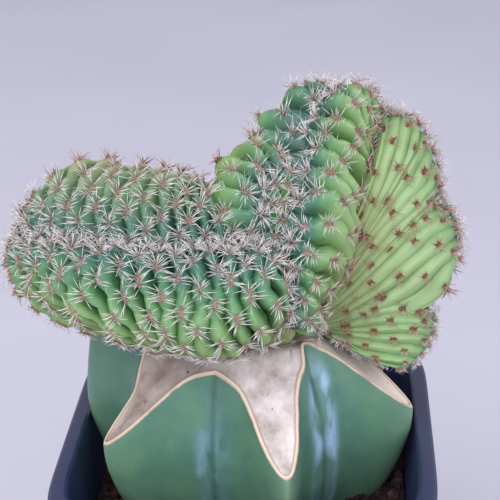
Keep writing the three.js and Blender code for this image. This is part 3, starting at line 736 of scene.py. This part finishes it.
crest_points, crest_faces, growth_and_light = [], [], []
count = 0
for name, fold in FOLDS.items():
    t = np.arange(0, fold["tubercles"], 1 / STEPS)
    rows = np.concatenate([t, fold["tubercles"] - t])
    sides = np.concatenate([np.ones(len(t)), -np.ones(len(t))])
    ribs = np.arange(fold["ribs"], dtype=float)
    shape = (len(ribs), len(ACROSS), len(rows))
    rib_, aside_, row_ = np.meshgrid(ribs, ACROSS, rows, indexing="ij")
    side_ = np.broadcast_to(sides, shape)
    place, normal, light, pitch, grown = rib_surface(fold, rib_, row_, side_, aside_)
    caps = place[:, (0, -1)].mean(2)
    fan = (side_ > 0) * np.clip(row_ - 1, 0, 1) * fold["pale"]
    # the painted shade in the grooves is fainter on the pale fan's front
    light = light + 0.6 * fan * (0.85 - light)
    back = np.clip(-side_, 0, 1) * (name == "left")
    # per point: age, painted light and shade, the fan's paleness, and the left fold's back
    feature = np.stack([np.clip(grown / 45, 0, 1), light, fan, back], -1)
    per_rib = len(ACROSS) * len(rows) + 2
    n = len(rows)
    here = np.arange(n)
    after = (here + 1) % n
    strip = np.concatenate([
        np.stack([a * n + here, a * n + after, (a + 1) * n + after, (a + 1) * n + here], 1)
        for a in range(len(ACROSS) - 1)])
    base = (len(ACROSS) - 1) * n
    fans = np.concatenate([
        np.stack([after, here, np.full(n, per_rib - 2)], 1),
        np.stack([base + here, base + after, np.full(n, per_rib - 1)], 1)])
    for rib in range(len(ribs)):
        crest_points += [place[rib].reshape(-1, 3), caps[rib]]
        growth_and_light += [feature[rib].reshape(-1, 4), np.tile([1.0, 0, 0, 0], (2, 1))]
        crest_faces += (strip + count).tolist() + (fans + count).tolist()
        count += per_rib

# its neck, which stands on the stock's level cut: the oldest ribs, upright and half corky
NECK_HIGH, NECK_RIBS, NECK_COLUMNS = 21.0, 15, 180


def neck_radius(turn, share):
    """Radius of the neck in a direction, at a share of its height."""
    plain = np.interp(share, (0, 0.15, 0.35, 0.6, 0.85, 1), (11.2, 13.2, 13.0, 10.8, 6.1, 2))
    rib = np.floor(turn * NECK_RIBS / (2 * math.pi) + 0.5)
    chin = np.abs(np.sin(math.pi * (3.2 * share + rib % 2 / 2))) * 0.8 * np.clip(share * 9, 0, 1)
    ridge = 1 - 1.7 * np.abs(np.sin(NECK_RIBS * turn / 2)) ** 1.6
    return plain + (0.35 + chin) * ridge


turn = np.arange(NECK_COLUMNS) * 2 * math.pi / NECK_COLUMNS
shares = np.linspace(0, 0.96, 34)
neck = np.array([np.stack([STEM_X + neck_radius(turn, share) * np.cos(turn),
                           STEM_Y + neck_radius(turn, share) * np.sin(turn),
                           np.full(NECK_COLUMNS, STEM_TOP + NECK_HIGH * share)], 1)
                 for share in shares])
crest_points += [neck.reshape(-1, 3),
                 np.array([(STEM_X, STEM_Y, STEM_TOP), (STEM_X, STEM_Y, STEM_TOP + NECK_HIGH)])]
ridges = 1 - np.abs(np.sin(NECK_RIBS * turn / 2))
neck_growth = np.zeros((len(shares), NECK_COLUMNS, 4))
neck_growth[..., 0] = (0.8 - 0.3 * shares)[:, None]
# painted shade in the neck's grooves, lighter on its ridges
neck_growth[..., 1] = 0.25 + 0.6 * ridges
growth_and_light += [neck_growth.reshape(-1, 4), np.tile([1.0, 0, 0, 0], (2, 1))]
here = np.arange(NECK_COLUMNS)
after = (here + 1) % NECK_COLUMNS
for ring in range(len(shares) - 1):
    lower = count + ring * NECK_COLUMNS
    upper = lower + NECK_COLUMNS
    crest_faces += np.stack([lower + here, lower + after, upper + after, upper + here], 1).tolist()
foot = np.full(NECK_COLUMNS, upper + NECK_COLUMNS)
crest_faces += np.stack([count + after, count + here, foot], 1).tolist()
crest_faces += np.stack([upper + here, upper + after, foot + 1], 1).tolist()

crest_points = np.concatenate(crest_points)
crest = new_piece("crest_body", crest_points * MM, crest_faces)
layer = crest.data.attributes.new("growth_and_light", "FLOAT_COLOR", "POINT")
layer.data.foreach_set("color", np.concatenate(growth_and_light).astype(np.float32).ravel())

# Living cactus flesh: thin glossy skin over wet tissue. It is blue-green and dark where it is
# young, bright green in the middle, and goes yellow and corky towards the foot of a rib.
flesh, tree = start_material("living cactus flesh")
place = add_node(tree, "TexCoord")
grown = add_node(tree, "Attribute", attribute_name="growth_and_light")
parts = add_node(tree, "SeparateColor", links={"Color": grown.outputs["Color"]})
# the green drifts over some 4 mm, about one tubercle
cloud = add_node(tree, "TexNoise", {"Scale": 260.0, "Detail": 4.0, "Roughness": 0.6},
                 {"Vector": place.outputs["Object"]})
wander = add_node(tree, "MapRange",
                  {"From Min": 0.3, "From Max": 0.7, "To Min": -0.06, "To Max": 0.06},
                  {"Value": cloud.outputs["Fac"]})
age = add_node(tree, "Math", links={0: parts.outputs["Red"], 1: wander.outputs["Result"]},
               operation="ADD")
green = add_node(tree, "ValToRGB", links={"Fac": age.outputs[0]},
                 stops=((0.02, "#406b61"), (0.1, "#4e7f68"), (0.2, "#649264"), (0.34, "#7b9e63"),
                        (0.55, "#84a462"), (0.8, "#989a6c"), (1.0, "#8c7454")))
pale = add_node(tree, "ValToRGB", links={"Fac": age.outputs[0]},
                stops=((0.05, "#4f7d62"), (0.16, "#74985f"), (0.32, "#8aa973"), (0.7, "#8fa873"),
                       (1.0, "#8d9c6a")))
olive = add_node(tree, "ValToRGB", links={"Fac": age.outputs[0]},
                 stops=((0.04, "#426e60"), (0.16, "#6c8a66"), (0.32, "#98a078"), (0.7, "#a09c76"),
                        (1.0, "#8c7454")))
front = add_node(tree, "Mix", data_type="RGBA", links={
    AMOUNT: parts.outputs["Blue"], FIRST: green.outputs["Color"], SECOND: pale.outputs["Color"]})
both = add_node(tree, "Mix", data_type="RGBA", links={
    AMOUNT: grown.outputs["Alpha"], FIRST: front.outputs[MIXED], SECOND: olive.outputs["Color"]})
# painted shade: the flesh darkened in the grooves and lightened on each bump as a painted highlight
shade = add_node(tree, "ValToRGB", links={"Fac": parts.outputs["Green"]},
                 stops=((0.0, "#98ae9a"), (0.3, "#d2dccc"), (0.7, "#ffffff")))
shaded_flesh = add_node(tree, "Mix", {AMOUNT: 1.0},
                {FIRST: both.outputs[MIXED], SECOND: shade.outputs["Color"]},
                data_type="RGBA", blend_type="MULTIPLY")
gloss = add_node(tree, "MapRange",
                 {"From Min": 0.3, "From Max": 0.7, "To Min": 0.3, "To Max": 0.46},
                 {"Value": cloud.outputs["Fac"]})
# cells of the skin are 0.05 mm, drawn at 0.35 mm so that they show as a faint grain
cells = add_node(tree, "TexNoise", {"Scale": 2600.0, "Detail": 2.0},
                 {"Vector": place.outputs["Object"]})
relief = add_node(tree, "Bump", {"Strength": 0.2, "Distance": 0.06 * MM},
                  {"Height": cells.outputs["Fac"]})
coat = add_node(tree, "BsdfPrincipled",
                {"IOR": 1.42, "Subsurface Weight": 0.3, "Subsurface Scale": 1.5 * MM},
                {"Base Color": shaded_flesh.outputs[MIXED], "Roughness": gloss.outputs["Result"],
                 "Normal": relief.outputs["Normal"]})
add_node(tree, "OutputMaterial", links={"Surface": coat.outputs["BSDF"]})
crest.data.materials.append(flesh)
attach(crest, "root")
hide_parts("crest")

# Areoles: narrow felted cushions on the upper side of every tubercle, cream when young and
# rust brown when old. Those buried in a neighbouring fold are left out.
rng = np.random.default_rng(5)
solid = BVHTree.FromPolygons(crest_points.tolist(), crest_faces)


def is_open(point, normal):
    """Whether a point is outside the flesh: a ray from it leaves no more often than it enters."""
    for tilt in ((0, 0, 0), (0.35, 0.2, 0.1)):
        heading = unit(np.array(normal) + np.array(tilt))
        start, inside = np.array(point), 0
        for _ in range(24):
            hit, face_normal, _, _ = solid.ray_cast(start.tolist(), heading.tolist())
            if hit is None:
                break
            inside += 1 if np.dot(face_normal, heading) > 0 else -1
            start = np.array(hit) + heading * 1e-4
        if inside > 0:
            return False
    return True


areoles = []
for name, fold in FOLDS.items():
    for side in (1.0, -1.0):
        for rib in range(fold["ribs"]):
            for number in range(-1, fold["tubercles"] + 1):
                t = number + 0.6 - stagger(rib)
                if not 0.05 < t < fold["tubercles"] * 0.93:
                    continue
                ts = np.array([t, t - 0.08, t + 0.08, t, t])
                asides = np.array([0, 0, 0, -0.06, 0.06])
                spots, normals, _, pitch, grown = rib_surface(
                    fold, np.full(5, float(rib)), ts, np.full(5, side), asides)
                down = unit(spots[2] - spots[1])
                along = unit(spots[4] - spots[3])
                normal = unit(np.cross(along, down))
                if np.dot(normal, normals[0]) < 0:
                    normal = -normal
                if pitch[0] < 0.7 or not is_open(spots[0] + normal * 0.5, normal):
                    continue
                fan = fold["pale"] * (side > 0 and grown[0] > 7)
                areoles.append((spots[0], normal, down, np.cross(normal, down), grown[0],
                                pitch[0], float(fan), float(side < 0)))
for rib in range(NECK_RIBS):
    turn = 2 * math.pi * rib / NECK_RIBS
    for number in range(4):
        share = (number + 0.35 + rib % 2 / 2) / 3.2
        reach = float(neck_radius(np.array(turn), share))
        spot = np.array([STEM_X + reach * math.cos(turn), STEM_Y + reach * math.sin(turn),
                         STEM_TOP + NECK_HIGH * share])
        normal = np.array([math.cos(turn), math.sin(turn), 0])
        down = np.array([0, 0, -1.0])
        if 0.08 < share < 0.8 and is_open(spot + normal * 0.5, normal):
            areoles.append((spot, normal, down, np.cross(normal, down), 38.0, 4.5, 0.6, 0.0))
place_, normal_, down_, along_, age_, pitch_, fan_, back_ = (np.array(v) for v in zip(*areoles))
PAD = 10
turn = np.arange(PAD) * 2 * math.pi / PAD
pad_size = np.clip(0.35 + age_ / 7, 0, 1) * rng.uniform(0.8, 1.2, len(age_))
pad_long = (1.3 - 0.6 * fan_) * pad_size
pad_wide = np.minimum((0.28 + 0.1 * fan_) * pad_size, 0.16 * pitch_)
pads = []
for scale, high in ((1.0, -0.25), (0.95, 0.03), (0.6, 0.14)):
    pads.append(place_[:, None]
                + down_[:, None] * (np.cos(turn)[:, None] * scale * pad_long[:, None, None])
                + along_[:, None] * (np.sin(turn)[:, None] * scale * pad_wide[:, None, None])
                + normal_[:, None] * high * np.minimum(1, pad_size)[:, None, None])
top = place_ + normal_ * (0.18 * np.minimum(1, pad_size))[:, None]
foot = place_ - normal_ * 0.25
points = np.concatenate(pads + [top[:, None], foot[:, None]], 1)
here, after = np.arange(PAD), (np.arange(PAD) + 1) % PAD
one = []
for ring in range(2):
    lower, upper = ring * PAD, (ring + 1) * PAD
    one += [f for a, b in zip(here, after) for f in (
        (lower + a, lower + b, upper + b), (lower + a, upper + b, upper + a))]
one += [(2 * PAD + a, 2 * PAD + b, 3 * PAD) for a, b in zip(here, after)]
one += [(b, a, 3 * PAD + 1) for a, b in zip(here, after)]
wool = scattered("crest_areoles", points, one)
pad_age = age_ / 40 + rng.normal(0, 0.06, len(age_)) + 0.45 * fan_ + 0.2 * back_
store(wool, "age", np.repeat(pad_age, points.shape[1]))

# Felted wool: short matted hair, matt and soft at its edge
felt, tree = start_material("felted areole wool")
place = add_node(tree, "TexCoord")
aged = add_node(tree, "Attribute", attribute_name="age")
tone = add_node(tree, "ValToRGB", links={"Fac": aged.outputs["Fac"]},
                stops=((0.0, "#c8beb6"), (0.16, "#d2aa94"), (0.4, "#c38e74"), (0.75, "#9c6852"),
                       (1.0, "#84543f")))
# hairs are 0.02 mm, drawn as tufts of 0.2 mm
hair = add_node(tree, "TexNoise", {"Scale": 5000.0, "Detail": 3.0},
                {"Vector": place.outputs["Object"]})
tuft = add_node(tree, "ValToRGB", links={"Fac": hair.outputs["Fac"]},
                stops=((0.3, "#8f8f8f"), (0.7, "#ffffff")))
tufted = add_node(tree, "Mix", {AMOUNT: 1.0},
                  {FIRST: tone.outputs["Color"], SECOND: tuft.outputs["Color"]},
                  data_type="RGBA", blend_type="MULTIPLY")
relief = add_node(tree, "Bump", {"Strength": 0.9, "Distance": 0.12 * MM},
                  {"Height": hair.outputs["Fac"]})
coat = add_node(tree, "BsdfPrincipled",
                {"Roughness": 0.95, "Sheen Weight": 0.3, "Sheen Roughness": 0.5},
                {"Base Color": tufted.outputs[MIXED], "Normal": relief.outputs["Normal"]})
add_node(tree, "OutputMaterial", links={"Surface": coat.outputs["BSDF"]})
wool.data.materials.append(felt)
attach(wool, "root")
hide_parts("crest")

# Spines: stiff needles set like the teeth of a comb down both edges of an areole, 1 to 4.5 mm
# long, leaning out flat over the tubercle. They are horn, cream with a rust foot. Those under
# the right-hand fan are worn short.
SUNK, THICK, OLD_LONG, YOUNG_LONG, YOUNG_ZONE = 0.2, 0.092, 3.0, 3.9, 25.0
spines = []
for i in range(len(place_)):
    youth = max(0, 1 - age_[i] / YOUNG_ZONE)
    plain = max(fan_[i], back_[i] * min(1, max(0, age_[i] - 9) / 6))
    teeth = round(6.3 + 5.2 * youth - 0.6 * plain + rng.uniform(-1.2, 1.2))
    length = (OLD_LONG + (YOUNG_LONG - OLD_LONG) * youth) * (1 - 0.2 * plain)
    length = min(length, 1.3 + 0.8 * pitch_[i] + 1.6 * youth)
    if place_[i][0] > 14:
        length *= min(1, max(0.35, (place_[i][2] - 85) / 12))
    for sign in (-1, 1):
        for tooth in range(teeth):
            s = -1 + 2 * (tooth + 0.5) / teeth + rng.normal(0, 0.1)
            fan_angle = math.radians(40) * s + rng.normal(0, 0.16 + 0.5 * youth)
            lift = 0.2 + 0.35 * rng.random() + youth * rng.uniform(0.1, 1.2) + 0.3 * plain
            heading = (sign * along_[i] * math.cos(fan_angle) + down_[i] * math.sin(fan_angle)
                       + normal_[i] * lift)
            root = (place_[i] + down_[i] * (0.85 * s * pad_long[i])
                    + along_[i] * sign * 0.4 * pad_wide[i] + normal_[i] * 0.15 * pad_size[i])
            spines.append((root, unit(heading), normal_[i], length * rng.uniform(0.5, 1.25),
                           rng.random(), age_[i] / 40, plain))
root_, heading_, normal_, length_, tone_, age_, fan_ = (np.array(v) for v in zip(*spines))
# those at the outermost bends end at the size of the solids
box_low, box_high = np.array(cad_box) / MM
room = np.where(heading_ > 0, box_high - root_, root_ - box_low)
room = room / np.maximum(np.abs(heading_), 1e-6)
length_ = np.maximum(0.1, np.minimum(length_, room.min(1) - 0.25))
first = unit(np.cross(heading_, normal_))
second = np.cross(heading_, first)
turn = np.arange(3) * 2 * math.pi / 3
levels = []
for along, thick, droop in ((np.full(len(length_), -SUNK), 1.0, 0.0), (0.5 * length_, 0.8, 0.03)):
    centre = root_ + heading_ * along[:, None] - normal_ * (droop * length_)[:, None]
    levels.append(centre[:, None] + first[:, None] * (np.cos(turn)[:, None] * THICK * thick)
                  + second[:, None] * (np.sin(turn)[:, None] * THICK * thick))
tips = root_ + heading_ * length_[:, None] - normal_ * (0.13 * length_)[:, None]
points = np.concatenate(levels + [tips[:, None]], 1)
one = [(0, 2, 1), (0, 1, 4), (0, 4, 3), (1, 2, 5), (1, 5, 4), (2, 0, 3), (2, 3, 5),
       (3, 4, 6), (4, 5, 6), (5, 3, 6)]
needles = scattered("crest_spines", points, one)
rusty = np.clip(0.1 + 0.6 * age_ + 0.6 * fan_ + 0.5 * (tone_ - 0.5), 0, 1)
store(needles, "reach", np.tile([0, 0, 0, 0.5, 0.5, 0.5, 1], len(points)))
store(needles, "rust", np.repeat(rusty, points.shape[1]))
store(needles, "tone", np.repeat(tone_, points.shape[1]))

# Bristles: between the spines of the growing line stand finer, straight ones, three to a spot,
# which fill it with a pale haze
BRISTLE_THICK, BRISTLE_LONG, BRISTLE_ZONE = 0.06, 3.2, 9.0
bristles = []
for name, fold in FOLDS.items():
    for side in (1.0, -1.0):
        for t in np.arange(0.1, fold["tubercles"] / 2, 0.22):
            ribs = np.arange(fold["ribs"], dtype=float)
            ts = t + rng.uniform(-0.1, 0.1, len(ribs))
            asides = rng.uniform(-0.3, 0.3, len(ribs))
            spots, normals, _, _, grown = rib_surface(
                fold, ribs, ts, np.full(len(ribs), side), asides)
            for spot, normal, far in zip(spots, normals, grown / fold["pace"]):
                too_far = far > BRISTLE_ZONE * rng.uniform(0.6, 1)
                if too_far or not is_open(spot + normal * 0.5, normal):
                    continue
                for _ in range(3):
                    heading = unit(normal + rng.normal(0, 0.75, 3))
                    length = BRISTLE_LONG * rng.uniform(0.4, 1) * (1 - 0.5 * far / BRISTLE_ZONE)
                    bristles.append((spot - normal * 0.2, heading, length))
foot_, way_, long_ = (np.array(v) for v in zip(*bristles))
one_side = unit(np.cross(way_, np.array([0.3, 0.5, 0.8])))
other_side = np.cross(way_, one_side)
base = foot_[:, None] + BRISTLE_THICK * (one_side[:, None] * np.cos(turn)[:, None]
                                         + other_side[:, None] * np.sin(turn)[:, None])
ends = np.clip(foot_ + way_ * long_[:, None], box_low + 0.02, box_high - 0.02)
points = np.concatenate([base, ends[:, None]], 1)
one = [(0, 2, 1), (0, 1, 3), (1, 2, 3), (2, 0, 3)]
hairs = scattered("crest_bristles", points, one, smooth=False)
store(hairs, "reach", np.tile([0.5, 0.5, 0.5, 1], len(points)))
store(hairs, "rust", np.zeros(points.shape[:2]))
store(hairs, "tone", np.repeat(rng.random(len(points)), points.shape[1]))

# Horn: hard, smooth and half glossy, so that each needle catches a pale line of light
horn, tree = start_material("cactus spine horn")
reach = add_node(tree, "Attribute", attribute_name="reach")
rust = add_node(tree, "Attribute", attribute_name="rust")
own = add_node(tree, "Attribute", attribute_name="tone")
pale = add_node(tree, "ValToRGB", links={"Fac": own.outputs["Fac"]},
                stops=((0.0, "#c6beb9"), (0.5, "#e0dad4"), (1.0, "#f5f1eb")))
brown = add_node(tree, "ValToRGB", links={"Fac": reach.outputs["Fac"]},
                 stops=((0.0, "#94604a"), (0.5, "#b58c74"), (1.0, "#a67a64")))
foot_only = add_node(tree, "MapRange",
                     {"From Min": 0.0, "From Max": 0.45, "To Min": 0.75, "To Max": 0.0},
                     {"Value": reach.outputs["Fac"]})
whole = add_node(tree, "MapRange", {"From Min": 0.45, "From Max": 0.95},
                 {"Value": rust.outputs["Fac"]})
share = add_node(tree, "Math", links={0: foot_only.outputs["Result"], 1: whole.outputs["Result"]},
                 operation="MAXIMUM")
tone = add_node(tree, "Mix", data_type="RGBA", links={
    AMOUNT: share.outputs[0], FIRST: pale.outputs["Color"], SECOND: brown.outputs["Color"]})
coat = add_node(tree, "BsdfPrincipled", {"Roughness": 0.4, "IOR": 1.54},
                {"Base Color": tone.outputs[MIXED]})
add_node(tree, "OutputMaterial", links={"Surface": coat.outputs["BSDF"]})
for piece in (needles, hairs):
    piece.data.materials.append(horn)
    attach(piece, "root")
    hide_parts("crest")
